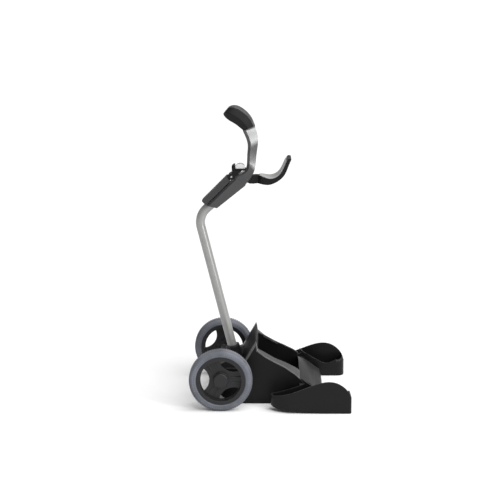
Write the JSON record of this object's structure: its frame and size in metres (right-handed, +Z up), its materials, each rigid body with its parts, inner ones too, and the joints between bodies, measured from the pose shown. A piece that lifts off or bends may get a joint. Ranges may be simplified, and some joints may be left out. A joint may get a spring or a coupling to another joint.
{
  "type": "golf bag push cart",
  "caption": "Two-wheeled upright push cart for a golf bag: moulded cup base with two front feet, bent tube column, and a head with handle, clamp lever, button and bag cradle.",
  "frame": {"origin": "middle of the footprint, on the ground", "axes": "+X from the wheels to the feet, +Y to the left, +Z up"},
  "size_m": [0.511, 0.4436, 0.9438],
  "materials": {
    "shell": "black moulded plastic",
    "rim": "dark grey moulded plastic, satin",
    "foot": "black moulded plastic, fine grain",
    "liner": "dark grey bearing plastic",
    "steel": "zinc plated steel",
    "tyre": "blue grey foam tyre",
    "wheel": "dark grey moulded plastic",
    "tube": "silver grey painted tube",
    "head": "graphite satin plastic",
    "head_dark": "black moulded plastic",
    "grip": "soft matte overmould",
    "inlay": "grey trim along the top of the grip",
    "button": "light grey glossy cap",
    "pad": "light grey soft pad"
  },
  "bodies": {
    "base": {"left_cup_wall": "shell", "right_cup_wall": "shell", "rear_panel": "shell", "base_tray": "shell", "axle_beam": "shell", "left_rim_trim": "rim", "right_rim_trim": "rim", "hood": "rim", "left_foot": "foot", "right_foot": "foot", "socket_sleeve": "liner", "axle_rod": "steel", "left_axle_spacer": "steel", "right_axle_spacer": "steel", "left_axle_cap": "steel", "right_axle_cap": "steel", "tray_screws": "steel"},
    "left_wheel": {"left_tyre": "tyre", "left_wheel_disc": "wheel", "left_hub_cap": "wheel", "left_hub_bushes": "liner"},
    "right_wheel": {"right_tyre": "tyre", "right_wheel_disc": "wheel", "right_hub_cap": "wheel", "right_hub_bushes": "liner"},
    "column": {"column_tube": "tube", "column_bottom_plug": "liner", "column_top_plug": "liner"},
    "head": {"left_head_shell": "head", "right_head_shell": "head", "head_cover": "head_dark", "guide_sleeve": "liner", "handle_grip": "grip", "grip_inlay": "inlay", "head_screws": "steel", "lever_pin": "steel", "cradle_pin": "steel", "button_collar": "head_dark"},
    "clamp_lever": {"clamp_lever": "head_dark"},
    "button": {"release_button": "button"},
    "cradle": {"cradle_hook": "head_dark", "cradle_pad": "pad"}
  },
  "joints": [
    {"name": "left_wheel_spin", "type": "hinge", "parent": "base", "child": "left_wheel", "pos_m": [-0.1555, 0.1882, 0.1], "axis": [0, 1, 0], "continuous": true},
    {"name": "right_wheel_spin", "type": "hinge", "parent": "base", "child": "right_wheel", "pos_m": [-0.1555, -0.1882, 0.1], "axis": [0, 1, 0], "continuous": true},
    {"name": "column_lift", "type": "slide", "parent": "base", "child": "column", "axis": [-0.2419, 0, 0.9703], "range_m": [0, 0.09]},
    {"name": "head_height", "type": "slide", "parent": "column", "child": "head", "axis": [0.7431, 0, 0.6691], "range_m": [0, 0.05]},
    {"name": "lever_swing", "type": "hinge", "parent": "head", "child": "clamp_lever", "pos_m": [-0.1225, 0, 0.72], "axis": [0, 1, 0], "range_deg": [0, 60]},
    {"name": "button_press", "type": "slide", "parent": "head", "child": "button", "axis": [0, 0, -1], "range_m": [0, 0.004], "stiffness_N_per_m": 400},
    {"name": "cradle_fold", "type": "hinge", "parent": "head", "child": "cradle", "pos_m": [-0.0735, 0, 0.712], "axis": [0, -1, 0], "range_deg": [0, 25]}
  ]
}
